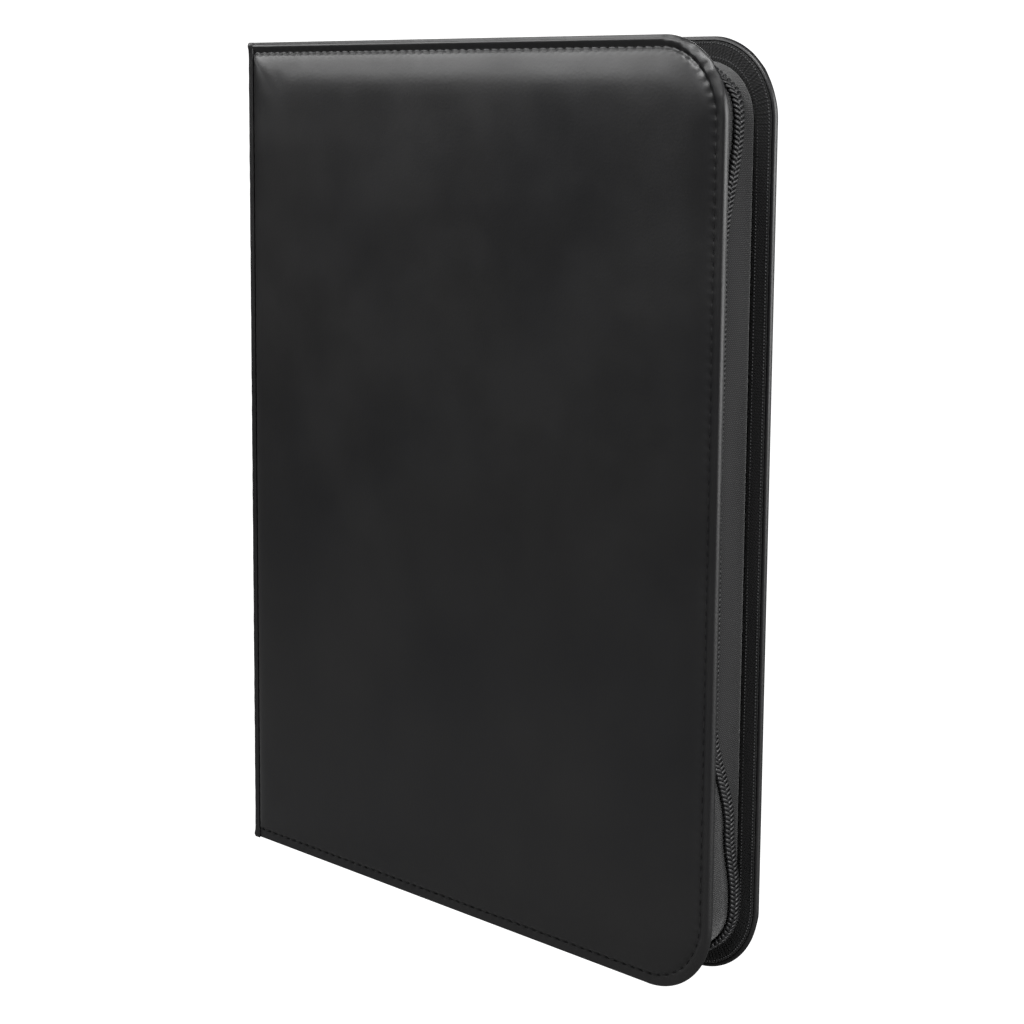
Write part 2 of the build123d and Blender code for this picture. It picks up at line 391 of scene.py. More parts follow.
EDGE_PROFILE = [
    (0.0, 0.95), (0.12, 1.2), (0.35, 1.62), (0.65, 2.05), (1.0, 2.36), (1.4, 2.46), (1.9, 2.40), (2.6, 2.22),
    (3.2, 2.00), (3.8, 1.76), (4.2, 1.62)]
TOP_PROFILE = np.array([
    (0.0, 0.80), (0.12, 0.97), (0.35, 1.29), (0.65, 1.67), (1.0, 2.03), (1.4, 2.32), (1.9, 2.42),
    (2.6, 2.24), (3.2, 2.00), (3.8, 1.76), (4.2, 1.62), (4.5, 1.70), (4.9, 2.10), (5.3, 2.55), (5.8, 2.88),
    (6.6, 3.15), (8.0, 3.48), (10.0, 3.86), (12.0, 4.20), (14.0, 4.48), (16.0, 4.69), (19.0, 4.85),
    (24.0, 4.92), (40.0, 4.95), (200.0, 4.95)])
CORNER_RIM = np.array([
    (0.0, 0.80), (0.3, 1.15), (0.8, 1.60), (1.4, 2.05), (2.0, 2.40), (2.6, 2.60), (3.1, 2.56), (3.6, 2.15),
    (4.0, 1.75), (4.2, 1.62), (200.0, 1.62)])
FLAT_RIM = 1.75
PLEATS = 9
SWAYS = 7
FORE_PROFILE = np.array(EDGE_PROFILE + [
    (4.6, 1.74), (5.1, 2.02), (5.8, 2.46), (6.8, 3.00), (8.2, 3.56), (10.0, 4.02), (12.5, 4.38),
    (16.0, 4.62), (22.0, 4.78), (32.0, 4.86), (50.0, 4.92), (200.0, 4.95)])
SPINE_PROFILE = np.array(EDGE_PROFILE + [
    (4.6, 1.86), (5.1, 2.36), (5.8, 2.98), (6.8, 3.60), (8.2, 4.16), (10.0, 4.54), (12.5, 4.74),
    (16.0, 4.84), (22.0, 4.90), (32.0, 4.94), (50.0, 4.95), (200.0, 4.95)])


def panel_height(x, z):
    """Outer surface of a cover, outwards from its inner face; each side of the panel has its own slope."""
    free, spine = edge_distance(x, z)
    s = np.minimum(free, spine)
    reach = np.clip((s - 4.5) * 0.45, 0.001, 9.0)
    s = s - reach * np.log1p(np.exp(-np.minimum(np.abs(free - spine) / reach, 40)))
    flat = np.minimum(z, HEIGHT - z)
    at_top, at_fore, at_spine = (np.interp(s, profile[:, 0], profile[:, 1])
                                 for profile in (TOP_PROFILE, FORE_PROFILE, SPINE_PROFILE))
    upright = smoothstep(x, -20, 20)
    side = at_spine + (at_fore - at_spine) * upright
    height = at_top + (side - at_top) * smoothstep(flat - np.minimum(FORE_X - x, spine), -10, 10)
    turn = np.arctan2(CORNER_R - np.minimum(flat, CORNER_R), np.maximum(x - (FORE_X - CORNER_R), 0))
    full = smoothstep(math.pi / 2 - turn, 0, 0.6) * smoothstep(turn, 0.12, 0.42)
    rim = s < SEAM_INSET
    height += rim * full * (np.interp(s, CORNER_RIM[:, 0], CORNER_RIM[:, 1]) - height)
    return height - rim * (1 - smoothstep(z, 3, 16)) * np.maximum(height - FLAT_RIM, 0)


def set_seam(plan):
    """Plan points moved so that the seam lies further in from the fore edge than from the top and bottom."""
    x, z = plan[:, 0], plan[:, 1]
    free, _ = edge_distance(x, z)
    upper = np.sign(z - HEIGHT / 2)
    over = np.maximum(np.abs(z - HEIGHT / 2) - (HEIGHT / 2 - CORNER_R), 0)
    beyond = np.maximum(x - (FORE_X - CORNER_R), 0)
    reach = np.maximum(np.hypot(over, beyond), 1e-6)
    share = smoothstep(free, 0, 3.6) * (1 - smoothstep(free, 6, 22))
    amount = -share * FORE_SEAM_SHIFT * (beyond / reach) ** 2
    return np.column_stack([x + amount * beyond / reach, z + amount * upper * over / reach])


def seam_route(step):
    """Points along the stitch line and their distance along it, once round the panel."""
    plan = outline_points(SEAM_INSET, SEAM_INSET - SPINE_SEAM, step)
    closed = np.vstack([plan, plan[:1]])
    lengths = np.concatenate([[0], np.cumsum(np.hypot(*np.diff(closed, axis=0).T))])
    return closed, lengths


def stitch_pull(step):
    """1 in the middle of a stitch and -1 between two, for each station of a ring."""
    _, lengths = seam_route(step)
    pitch = lengths[-1] / int(lengths[-1] / STITCH_PITCH)
    return -np.cos(2 * math.pi * lengths[:-1] / pitch)


def wrinkles(x, z, pull, seed):
    """Small puckers beside the stitches, pleats round the corners and slow waves in the leather."""
    draw = random.Random(seed)
    free, spine = edge_distance(x, z)
    s = np.minimum(free, spine)
    upright = smoothstep(np.minimum(z, HEIGHT - z), 4, 16)
    rise = (0.10 * upright - 0.20) * np.exp(-((s - 5.2) / 0.8) ** 2) * pull
    rise -= (0.16 - 0.03 * upright) * np.exp(-((s - 4.25) / 0.5) ** 2) * pull
    rise -= 0.06 * np.exp(-((s - 3.1) / 0.6) ** 2) * pull
    for corner_z, side in ((CORNER_R, -1), (HEIGHT - CORNER_R, 1)):
        dx, dz = x - (FORE_X - CORNER_R), side * (z - corner_z)
        turn = np.arctan2(dz, dx)
        near = (dx > -6) & (dz > -6)
        for _ in range(PLEATS):
            middle = draw.uniform(0.05, math.pi / 2 - 0.05)
            width = draw.uniform(0.03, 0.07)
            depth = draw.uniform(0.10, 0.32) * draw.choice((-1, 1))
            band = np.exp(-((free - draw.uniform(0.6, 2.2)) / 1.2) ** 2)
            rise += near * depth * band * np.exp(-((turn - middle) / width) ** 2)
    for _ in range(SWAYS):
        wave_x, wave_z = draw.uniform(-0.05, 0.05), draw.uniform(-0.06, 0.06)
        shift = draw.uniform(0, 6.3)
        slow = smoothstep(s, 6, 30) * 0.035
        rise += slow * np.sin(wave_x * x + wave_z * z + shift)
    return rise


# -------------------- padded panel, by cloth simulation


SHEET_STEP = 5.0
PRESSURE = 4.0
FRAMES = 20
SWELL_CAP = 1.0
SWELL_SHARE = 0.35


def simulated_padding(side_seed, material):
    """Inflate a sheet held along the seam; returns a function for its rise at any point."""
    step = SHEET_STEP
    xs = np.arange(PANEL_X + 1, FORE_X - SEAM_INSET + step, step)
    zs = np.arange(SEAM_INSET, HEIGHT - SEAM_INSET + step, step)
    grid_x, grid_z = np.meshgrid(xs, zs, indexing="ij")
    x, z = grid_x.ravel(), grid_z.ravel()
    draw = random.Random(side_seed)
    ripple = np.array([draw.uniform(-0.15, 0.15) for _ in x])
    points = np.column_stack([x, ripple, z])
    sheet = add_mesh("padding_trial", points, grid_faces(len(xs), len(zs)), material)
    free, spine = edge_distance(x, z)
    held = np.minimum(free, spine) < SEAM_INSET + step * 0.6
    group = sheet.vertex_groups.new(name="held")
    group.add([int(i) for i in np.nonzero(held)[0]], 1.0, "REPLACE")
    cloth = sheet.modifiers.new("inflate", "CLOTH")
    settings = cloth.settings
    settings.vertex_group_mass = "held"
    settings.use_pressure = True
    settings.uniform_pressure_force = PRESSURE
    settings.tension_stiffness = 30.0
    settings.bending_stiffness = 4.0
    settings.shrink_min = -0.004
    settings.effector_weights.gravity = 0.0
    scene = bpy.context.scene
    for number in range(1, FRAMES + 1):
        scene.frame_set(number)
    evaluated = sheet.evaluated_get(bpy.context.evaluated_depsgraph_get())
    moved = np.array([v.co for v in evaluated.data.vertices]) / MM
    rise = np.abs(moved[:, 1] - ripple).reshape(grid_x.shape)
    bpy.data.objects.remove(sheet)
    scene.frame_set(1)
    rise = SWELL_CAP * (1 - np.exp(-rise / SWELL_CAP))

    def sample(px, pz):
        u = np.clip((px - xs[0]) / step, 0, len(xs) - 1.001)
        v = np.clip((pz - zs[0]) / step, 0, len(zs) - 1.001)
        i, j = u.astype(int), v.astype(int)
        fu, fv = u - i, v - j
        low = rise[i, j] * (1 - fu) + rise[i + 1, j] * fu
        high = rise[i, j + 1] * (1 - fu) + rise[i + 1, j + 1] * fu
        return low * (1 - fv) + high * fv

    return sample


# -------------------- covers

WRAP_RINGS = [  # turned edge of the front cover: inset, height above the inner face
    (1.6, 0.52), (1.6, 0.02), (0.9, 0.02), (0.35, 0.08), (0.08, 0.3), (0.0, 0.6)]
BACK_WRAP_RINGS = [  # the back cover's edge is fuller, and rounded towards the zipper
    (1.6, 0.52), (1.6, 0.02), (1.25, 0.03), (0.85, 0.14), (0.5, 0.42), (0.2, 0.85)]
BACK_RIM = np.array([(0.0, 0.4), (0.6, 0.25), (1.4, 0.0), (200.0, 0.0)])
FACE_INSETS = [
    0.0, 0.12, 0.35, 0.65, 1.0, 1.4, 1.9, 2.4, 2.8, 3.2, 3.55, 3.85, 4.1, 4.3, 4.55, 4.8, 5.1, 5.45, 5.85,
    6.4, 7.1, 8.0, 9.2, 10.8, 12.8, 15.2, 18.0, 21.5, 25.5]
RING_STEP = 0.9
CORE_RINGS = 9
CORE_END = 80
PAD_STEP = 2.5
PAD_INSETS = [6.9, 7.4, 8.2, 9.2, 10.6, 12.4, 15.6, 20.0, 26.0]
SKIN = 0.6
BOARD_TOP = 2.3
LINING = LINING_HIGH[1] - LINING_LOW[1]


def spine_side(inset):
    """Inset along the spine for a ring: the seam runs close to that edge."""
    near = SEAM_INSET - SPINE_SEAM
    return inset * near / SEAM_INSET if inset < SEAM_INSET else inset - SPINE_SEAM


def core_line(plan):
    """Upright line in the middle of the panel that the inmost rings close on."""
    low, high = plan[:, 1].min() + CORE_END, plan[:, 1].max() - CORE_END
    return np.column_stack([np.full(len(plan), (PANEL_X + FORE_X) / 2), np.clip(plan[:, 1], low, high)])


def on_cover(ring, side):
    """Plan and height above the inner face, as points on the front (-1) or the back (1) cover."""
    return np.column_stack([ring[:, 0], side * (INNER_Y + ring[:, 2]), ring[:, 1]])


def cover_leather(name, side, material, padding, seed):
    """Closed leather shell of one cover; side is -1 for the front and 1 for the back."""
    rings = []
    for inset, height in WRAP_RINGS if side < 0 else BACK_WRAP_RINGS:
        plan = outline_points(inset, inset * 0.25, RING_STEP)
        rings.append(np.column_stack([plan, np.full(len(plan), height)]))
    plans = [outline_points(inset, spine_side(inset), RING_STEP) for inset in FACE_INSETS]
    last = plans[-1]
    core = core_line(last)
    for number in range(1, CORE_RINGS + 1):
        share = number / CORE_RINGS
        plans.append(last * (1 - share) + core * share)
    pull = stitch_pull(RING_STEP)
    for plan in plans:
        x, z = plan[:, 0], plan[:, 1]
        free, spine = edge_distance(x, z)
        rise = panel_height(x, z) + wrinkles(x, z, pull, seed)
        if side > 0:
            rise += np.interp(np.minimum(free, spine), BACK_RIM[:, 0], BACK_RIM[:, 1])
        rise += SWELL_SHARE * padding(x, z) * smoothstep(np.minimum(free, spine), 4.8, 18)
        rings.append(np.column_stack([set_seam(plan), rise]))
    count = len(rings[0])
    points = np.vstack(rings)
    faces = grid_faces(len(rings), count, close_columns=True)
    faces.append(tuple(range(count)))
    return closed_piece(name, on_cover(points, side), faces, material)


def inner_layer(name, side, material, bottom_at, top_at, crowned):
    """Foam or board under the leather: flat below, and crowned like the panel on top or flat."""
    plans = [outline_points(inset, spine_side(inset), PAD_STEP) for inset in PAD_INSETS]
    last = plans[-1]
    core = core_line(last)
    plans += [last * (1 - share) + core * share for share in (0.3, 0.6, 1.0)]
    top, bottom = [], []
    for number, plan in enumerate(plans):
        level = np.full(len(plan), top_at)
        if crowned:
            level = np.maximum(panel_height(*plan.T) - SKIN, top_at)
        if number == 0:
            level = level - 0.3 * (level - bottom_at)
        top.append(np.column_stack([set_seam(plan), level]))
        bottom.append(np.column_stack([set_seam(plan), np.full(len(plan), bottom_at)]))
    return loft(name, [on_cover(ring, side) for ring in top[::-1] + bottom], material)


def stitches(name, side, material, seed):
    """Separate thread stitches, each a short arched tube that dives into its holes."""
    draw = random.Random(seed)
    route, lengths = seam_route(0.5)
    count = int(lengths[-1] / STITCH_PITCH)
    pitch = lengths[-1] / count
    around, stations = 6, 7
    points, faces = [], []
    for number in range(count):
        middle = (number + 0.5) * pitch
        half = STITCH_SHARE * pitch
        skew = draw.uniform(-STITCH_SKEW, STITCH_SKEW)
        centre_rise = draw.uniform(0.02, 0.12)
        first = len(points)
        ahead = np.array([np.interp(middle + half, lengths, route[:, k]) for k in (0, 1)])
        behind = np.array([np.interp(middle - half, lengths, route[:, k]) for k in (0, 1)])
        along = (ahead - behind) / np.linalg.norm(ahead - behind)
        across = np.array([-along[1], along[0]])
        for station in range(stations):
            t = station / (stations - 1) * 2 - 1
            at = np.array([np.interp(middle + t * half, lengths, route[:, k]) for k in (0, 1)])
            at = at + across * skew * t
            height = float(panel_height(*at)) + centre_rise - THREAD_SINK - STITCH_DIVE * t ** 4
            at = set_seam(at[None])[0]
            thick = THREAD_R * math.sqrt(max(1 - 0.75 * t ** 6, 0.05))
            for turn in range(around):
                angle = 2 * math.pi * turn / around
                off = at + across * thick * math.cos(angle)
                level = height + thick * 0.8 * math.sin(angle)
                points.append((off[0], side * (INNER_Y + level), off[1]))
        faces += grid_faces(stations, around, close_columns=True, first=first)
        faces += end_caps(stations, around, first)
    return closed_piece(name, points, faces, material)


# -------------------- spine and folds

FOLD_R = 1.2
SPINE_HALF = SPINE_HIGH[1]
FOLD_Y = RIM_Y - FOLD_R
FOLD_X = SPINE_X + FOLD_R
SHEET = 0.8


def rounded_levels(count, roll):
    """Heights from bottom to top with closer spacing at both ends."""
    ends = np.array([0, 0.15, 0.4, 0.8, 1.3, 2.0]) * roll
    return np.concatenate([ends, np.linspace(roll * 3, HEIGHT - roll * 3, count), HEIGHT - ends[::-1]])


def end_roll(z, roll):
    """How far the surface draws in near the top and bottom, like a turned edge."""
    near = np.clip(np.minimum(z, HEIGHT - z) / roll, 0, 1)
    return 0.45 * (1 - np.sqrt(1 - (1 - near) ** 2))


def spine_leather(material):
    """Spine wrap, a little crowned, with a shallow crease beside each fold."""
    draw = random.Random(11)
    sections = []
    half = SPINE_HALF
    ys = np.linspace(-half, half, 33)
    for z in rounded_levels(90, 1.3):
        drawn = end_roll(z, 1.3)
        crown = 0.12 * (1 - (ys / half) ** 2) - 0.18 * np.exp(-((half - np.abs(ys)) / 1.2) ** 2)
        sway = 0.04 * math.sin(z * 0.045 + 1) * np.sin(ys * 0.2 + z * 0.02)
        outer = SPINE_X + 0.14 + drawn - crown - sway + draw.uniform(-0.006, 0.006)
        inner = np.full(len(ys), SPINE_X + SHEET + 0.05)
        section = [(x, y, z) for x, y in zip(outer, ys)]
        section += [(x, y, z) for x, y in zip(inner[::-1], ys[::-1])]
        sections.append(np.array(section))
    return loft("spine_leather", sections, material)


def fold_leather(name, side, material, seed):
    """Leather round one spine corner, from the cover's edge to the spine, with fine cross creases."""
    draw = random.Random(seed)
    phases = [(draw.uniform(0.2, 1.1), draw.uniform(0, 6.3), draw.uniform(0.01, 0.04)) for _ in range(6)]
    path = [(PANEL_X + 1.0 - 0.2 * k, -RIM_Y + 0.06) for k in range(6)]
    path += [(x, -RIM_Y + 0.02) for x in np.linspace(PANEL_X - 0.2, FOLD_X, 5)]
    for turn in np.linspace(0, math.pi / 2, 11)[1:]:
        path.append((FOLD_X - FOLD_R * math.sin(turn), -FOLD_Y - FOLD_R * math.cos(turn)))
    path += [(SPINE_X + 0.03, y) for y in np.linspace(-FOLD_Y + 0.2, -SPINE_HALF + 0.5, 4)]
    path = np.array(path)
    tangents = np.gradient(path, axis=0)
    tangents /= np.linalg.norm(tangents, axis=1)[:, None]
    outwards = np.column_stack([tangents[:, 1], -tangents[:, 0]])
    if outwards[0, 1] > 0:
        outwards = -outwards
    middle = np.sin(np.linspace(0, math.pi, len(path)))
    sections = []
    for z in rounded_levels(170, 1.0):
        crease = sum(depth * math.sin(rate * z + phase) for rate, phase, depth in phases)
        nub = 0.45 * math.exp(-((min(z, HEIGHT - z) - 1.6) / 1.3) ** 2)
        lift = middle * (crease + nub) - end_roll(z, 1.0)
        outer = path + outwards * lift[:, None]
        inner = path - outwards * 0.55
        ring = np.vstack([outer, inner[::-1]])
        sections.append(np.column_stack([ring[:, 0], -side * ring[:, 1], np.full(len(ring), z)]))
    return loft(name, sections, material)


# -------------------- zipper

ZIP_START_X = box_mm("front_zipper_tape")[0][0]
CHAIN_START_X = box_mm("front_zipper_coil")[0][0]
GATHER_PITCH = 1.45
WAVE_MIDDLE = -5.8
WAVE_TOP = 8.0
WAVE_END = 7.0
WAVE_LOW = 14.8
WAVE_LEAN = (272, 318)
WAVE_RETURN = (329, 341)
WAVE_CROSS = (-104, -62)
WAVE_FOOT = (-60, -34)
WAVE_START = (FORE_X - 28, FORE_X - 9)
BULGE = 0.8
FLANGE_STEP = 0.36
FLANGE_THICK = 0.3
FLANGE_OUTS = (7.3, 6.9, 6.3, 5.2, 4.1, 3.0, 1.9, 0.9, 0.1, -0.5)
FLANGE_DEPTH = 0.16
FLANGE_SAG = 0.34
GATHER_SAG = 0.26
GATHER_RIB = 0.17
WALL_STEP = 0.8
WALL_THICK = 0.36
WALL_BASE = 0.95
WALL_FOOT = ((-0.9, 0.75), (-0.35, 0.78), (-0.1, 0.9))
TAPE_SPLIT = 1.3
KNOT_PITCH = 1.25
KNOT_DEPTH = 0.50
KNOT_SQUASH = 0.8
KNOT_RINGS = ((0.28, 0.16), (0.10, 0.42), (-0.15, 0.36))
COIL_STEPS = 12
COIL_AROUND = 8
COIL_CENTRE = 1.14
COIL_REACH = 1.24
COIL_OUT = 0.95
COIL_LIFT = 0.62


def u_route(inset, start_x, step):
    """Stations along the top edge, down the fore edge and back: x, z, outward x and z, length."""
    radius = CORNER_R - inset
    corner_x = FORE_X - CORNER_R
    top, low = HEIGHT - inset, inset
    run = corner_x - start_x
    arc = radius * math.pi / 2
    rise = HEIGHT - 2 * CORNER_R
    total = 2 * run + 2 * arc + rise
    stations = []
    for s in np.linspace(0, total, int(total / step) + 1):
        if s < run:
            stations.append((start_x + s, top, 0, 1, s))
        elif s < run + arc:
            turn = (s - run) / radius
            stations.append((corner_x + radius * math.sin(turn), HEIGHT - CORNER_R + radius * math.cos(turn),
                             math.sin(turn), math.cos(turn), s))
        elif s < run + arc + rise:
            stations.append((FORE_X - inset, HEIGHT - CORNER_R - (s - run - arc), 1, 0, s))
        elif s < run + 2 * arc + rise:
            turn = (s - run - arc - rise) / radius
            stations.append((corner_x + radius * math.cos(turn), CORNER_R - radius * math.sin(turn),
                             math.cos(turn), -math.sin(turn), s))
        else:
            stations.append((corner_x - (s - run - 2 * arc - rise), low, 0, -1, s))
    return np.array(stations)


def chain_shift(x, z):
    """How far the chain wanders across the gap: towards the back at the corners, and not near the slider."""
    high = WAVE_TOP * smoothstep(z, *WAVE_LEAN) - WAVE_END * smoothstep(z, *WAVE_RETURN)
    low = WAVE_LOW * (0.75 * smoothstep(-z, *WAVE_CROSS) + 0.25 * smoothstep(-z, *WAVE_FOOT))
    return (WAVE_MIDDLE + high + low) * smoothstep(x, *WAVE_START)


def chain_bulge(x, z):
    """The gusset bows outwards a little where nothing pulls on it, and not where the slider runs."""
    below_slider = smoothstep(HEIGHT - ZIP_INSET - z, 0.5, 14)
    return BULGE * below_slider * smoothstep(x, SPINE_X + 90, FORE_X - 60) * np.sin(z * 0.03 + 0.6) ** 2


def swept_strip(name, route, profile_at, thick, side, material):
    """Woven strip: profile_at gives its outer line at a station, as distance out and y; thick is inwards."""
    sections, uvs = [], []
    for station in route:
        x, z, out_x, out_z, length = station
        profile = np.array(profile_at(station))
        tangent = np.gradient(profile, axis=0)
        tangent /= np.linalg.norm(tangent, axis=1)[:, None]
        normal = np.column_stack([tangent[:, 1], -tangent[:, 0]]) * -side
        ring = np.vstack([profile, (profile - normal * thick)[::-1]])
        sections.append(np.column_stack([x + out_x * ring[:, 0], ring[:, 1], z + out_z * ring[:, 0]]))
        across = np.concatenate([[0], np.cumsum(np.hypot(*np.diff(ring, axis=0).T))])
        uvs.append(np.column_stack([np.full(len(ring), length * MM), across * MM]))
    return loft(name, sections, material, np.vstack(uvs))


def corner_share(x, z):
    """0 to 1 inside a rounded corner, with soft ends, for the gathers."""
    turn = math.atan2(abs(z - HEIGHT / 2) - (HEIGHT / 2 - CORNER_R), x - (FORE_X - CORNER_R))
    if x < FORE_X - CORNER_R - 12 or abs(z - HEIGHT / 2) < HEIGHT / 2 - CORNER_R - 12:
        return 0.0
    return float(smoothstep(turn, -0.35, 0.15) * smoothstep(-turn, -math.pi / 2 - 0.35, -math.pi / 2 + 0.1))


def tape_flange(name, side, material, seed):
    """The part of the tape sewn inside the cover, gathered into fine radial ribs at the corners."""
    draw = random.Random(seed)
    waves = [(draw.uniform(0.02, 0.09), draw.uniform(0, 6.3), draw.uniform(0.03, 0.08)) for _ in range(6)]

    def profile(station):
        x, z, _, _, length = station
        gather = corner_share(x, z)
        rib = math.cos(length * 2 * math.pi / GATHER_PITCH + 0.7 * math.sin(length * 0.31))
        slow = sum(depth * math.sin(rate * length + phase) for rate, phase, depth in waves)
        points = []
        for out in FLANGE_OUTS:
            share = smoothstep(FLANGE_OUTS[0] - out, 0, 1.5) * smoothstep(out, FLANGE_OUTS[-1], 1.2)
            level = -FLANGE_DEPTH - FLANGE_SAG * share - slow * share
            level -= gather * (GATHER_SAG + GATHER_RIB * rib * float(smoothstep(out, 0.5, 4.0))) * share
            points.append((out, side * (INNER_Y + level)))
        return points

    route = u_route(ZIP_INSET, ZIP_START_X, FLANGE_STEP)
    return swept_strip(name, route, profile, FLANGE_THICK, side, material)


def tape_wall(name, side, material, seed):
    """The part of the tape that stands up between the covers, from its fold to the coil."""
    draw = random.Random(seed)
    waves = [(draw.uniform(0.02, 0.07), draw.uniform(0, 6.3), draw.uniform(0.04, 0.12)) for _ in range(6)]

    def profile(station):
        x, z, _, _, length = station
        bow = float(chain_bulge(x, z)) + sum(d * math.sin(rate * length + p) for rate, p, d in waves)
        edge = float(chain_shift(x, z)) + side * TAPE_SPLIT
        base = side * (INNER_Y - WALL_BASE)
        points = [(out, side * (INNER_Y - depth)) for out, depth in WALL_FOOT]
        for share in np.linspace(0.05, 1, 14):
            hump = bow * math.sin(math.pi * min(share * 1.15, 1))
            hump -= 0.45 * float(smoothstep(share, 0.72, 0.95))
            points.append((0.12 + hump, base + (edge - base) * share))
        return points

    route = u_route(ZIP_INSET, ZIP_START_X, WALL_STEP)
    return swept_strip(name, route, profile, WALL_THICK, side, material)


def knot_rows(name, side, material, insets):
    """Rows of small lock-stitch knots along the tape, each a squashed bead."""
    points, faces = [], []
    ring = 5
    for inset in insets:
        route = u_route(inset, ZIP_START_X + 1, KNOT_PITCH)
        for x, z, out_x, out_z, _ in route:
            first = len(points)
            level = side * (INNER_Y - KNOT_DEPTH)
            along = np.array([out_z, -out_x])
            outwards = np.array([out_x, out_z])
            for height, size in KNOT_RINGS:
                for turn in range(ring):
                    angle = 2 * math.pi * turn / ring
                    at = np.array([x, z]) + along * size * math.cos(angle)
                    at = at + outwards * size * KNOT_SQUASH * math.sin(angle)
                    points.append((at[0], level - side * height, at[1]))
            faces += grid_faces(len(KNOT_RINGS), ring, close_columns=True, first=first)
            faces += end_caps(len(KNOT_RINGS), ring, first)
    return closed_piece(name, points, faces, material)


def coil_half(name, side, material):
    """One nylon coil: a flattened helix of fat filament along the edge of its tape."""
    offset = 0.0 if side < 0 else 0.5
    route = u_route(ZIP_INSET, CHAIN_START_X, TEETH_PITCH / 2)
    lengths = route[:, 4]
    loops = int(lengths[-1] / TEETH_PITCH) - 1
    turns = np.arange(loops * COIL_STEPS) / COIL_STEPS
    angle = 2 * math.pi * turns
    reach = np.cos(angle)
    lift = -np.sin(angle)
    along = (turns + offset) * TEETH_PITCH + COIL_SLANT * reach
    x, z, out_x, out_z = (np.interp(along, lengths, route[:, k]) for k in range(4))
    across = side * (COIL_CENTRE - reach * COIL_REACH) + chain_shift(x, z)
    out = COIL_OUT + COIL_LIFT * np.sign(lift) * np.abs(lift) ** 0.7 + 0.5 * chain_bulge(x, z)
    centres = np.column_stack([x + out_x * out, across, z + out_z * out])
    tangents = np.gradient(centres, axis=0)
    tangents /= np.linalg.norm(tangents, axis=1)[:, None]
    run = np.column_stack([out_z, np.zeros(len(x)), -out_x])
    wide = run - tangents * np.sum(run * tangents, axis=1)[:, None]
    wide /= np.linalg.norm(wide, axis=1)[:, None]
    tall = np.cross(tangents, wide)
    lines = []
    for turn in range(COIL_AROUND):
        at = 2 * math.pi * turn / COIL_AROUND
        lines.append(centres + WIRE_WIDE * math.cos(at) * wide + WIRE_TALL * math.sin(at) * tall)
    return loft(name, np.stack(lines, axis=1), material)


# -------------------- pages

POCKETS = 3
WELD = 1.6
ROOT_WIDTH = 8.0
PAGE_R = 5.0


def plate_shell(name, xs, zs, middle_y, half, material):
    """Thin closed plate on a grid whose two free corners are rounded; half gives half its thickness."""
    grid_x, grid_z = np.meshgrid(xs, zs, indexing="ij")
    x, z = grid_x.ravel().copy(), grid_z.ravel().copy()
    corner_x = xs[-1] - PAGE_R
    for corner_z, side in ((zs[0] + PAGE_R, -1), (zs[-1] - PAGE_R, 1)):
        u, v = (x - corner_x) / PAGE_R, side * (z - corner_z) / PAGE_R
        inside = (u > 0) & (v > 0)
        shrink = np.where(inside, np.maximum(u, v) / np.maximum(np.hypot(u, v), 1e-9), 1)
        x = np.where(inside, corner_x + (x - corner_x) * shrink, x)
        z = np.where(inside, corner_z + (z - corner_z) * shrink, z)
    thick = half(x, z)
    front = np.column_stack([x, middle_y - thick, z])
    back = np.column_stack([x, middle_y + thick, z])
    rows, columns = len(xs), len(zs)
    faces = grid_faces(rows, columns)
    faces += [tuple(k + rows * columns for k in face) for face in grid_faces(rows, columns)]
    rim = [i * columns for i in range(rows)] + [(rows - 1) * columns + j for j in range(1, columns)]
    rim += [i * columns + columns - 1 for i in range(rows - 2, -1, -1)] + list(range(columns - 2, 0, -1))
    for here, after in zip(rim, rim[1:] + rim[:1]):
        faces.append((here, after, after + rows * columns, here + rows * columns))
    return closed_piece(name, np.vstack([front, back]), faces, material)


def weld_spacing(low, high, cells):
    """Grid lines from low to high that crowd round each weld between pockets."""
    lines = []
    size = (high - low) / cells
    for cell in range(cells):
        at = low + cell * size
        lines += [at, at + WELD * 0.5, at + WELD, at + WELD * 2.2]
        lines += list(np.linspace(at + 8, at + size - 8, 8))
        lines += [at + size - WELD * 2.2, at + size - WELD, at + size - WELD * 0.5]
    return np.array(lines + [high])


def leaf_pieces(number, core_material, film):
    body = f"leaf_{number:02d}"
    low, high = box_mm(body)
    middle = (low[1] + high[1]) / 2
    pocket_low = low[0] + ROOT_WIDTH
    width, height = high[0] - pocket_low, high[2] - low[2]
    xs = weld_spacing(pocket_low, high[0], POCKETS)
    zs = weld_spacing(low[2], high[2], POCKETS)
    root = np.array([low[0], low[0] + 2, low[0] + 4, low[0] + 6])

    def puff(x, z):
        """1 in the middle of a pocket, 0 on its welds."""
        across = np.abs(((x - pocket_low) / width * POCKETS) % 1 - 0.5) * 2
        up = np.abs(((z - low[2]) / height * POCKETS) % 1 - 0.5) * 2
        edge_x = (1 - across) * width / POCKETS / 2
        edge_z = (1 - up) * height / POCKETS / 2
        return smoothstep(np.minimum(edge_x, edge_z), WELD * 0.5, WELD * 2.2)

    core = plate_shell(f"{body}_core", np.concatenate([root, xs]), zs, middle,
                       lambda x, z: np.full(len(x), 0.075), core_material)
    pockets = plate_shell(f"{body}_pockets", xs, zs, middle, lambda x, z: 0.10 + 0.14 * puff(x, z), film)
    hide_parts(body)
    for piece in (core, pockets):
        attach(piece, body)


def page_material():
    """Black polypropylene page core with a fine embossed grain."""
    return plastic_material("page_core", (0.014, 0.014, 0.015), 0.5, 1600.0)


# -------------------- assembly


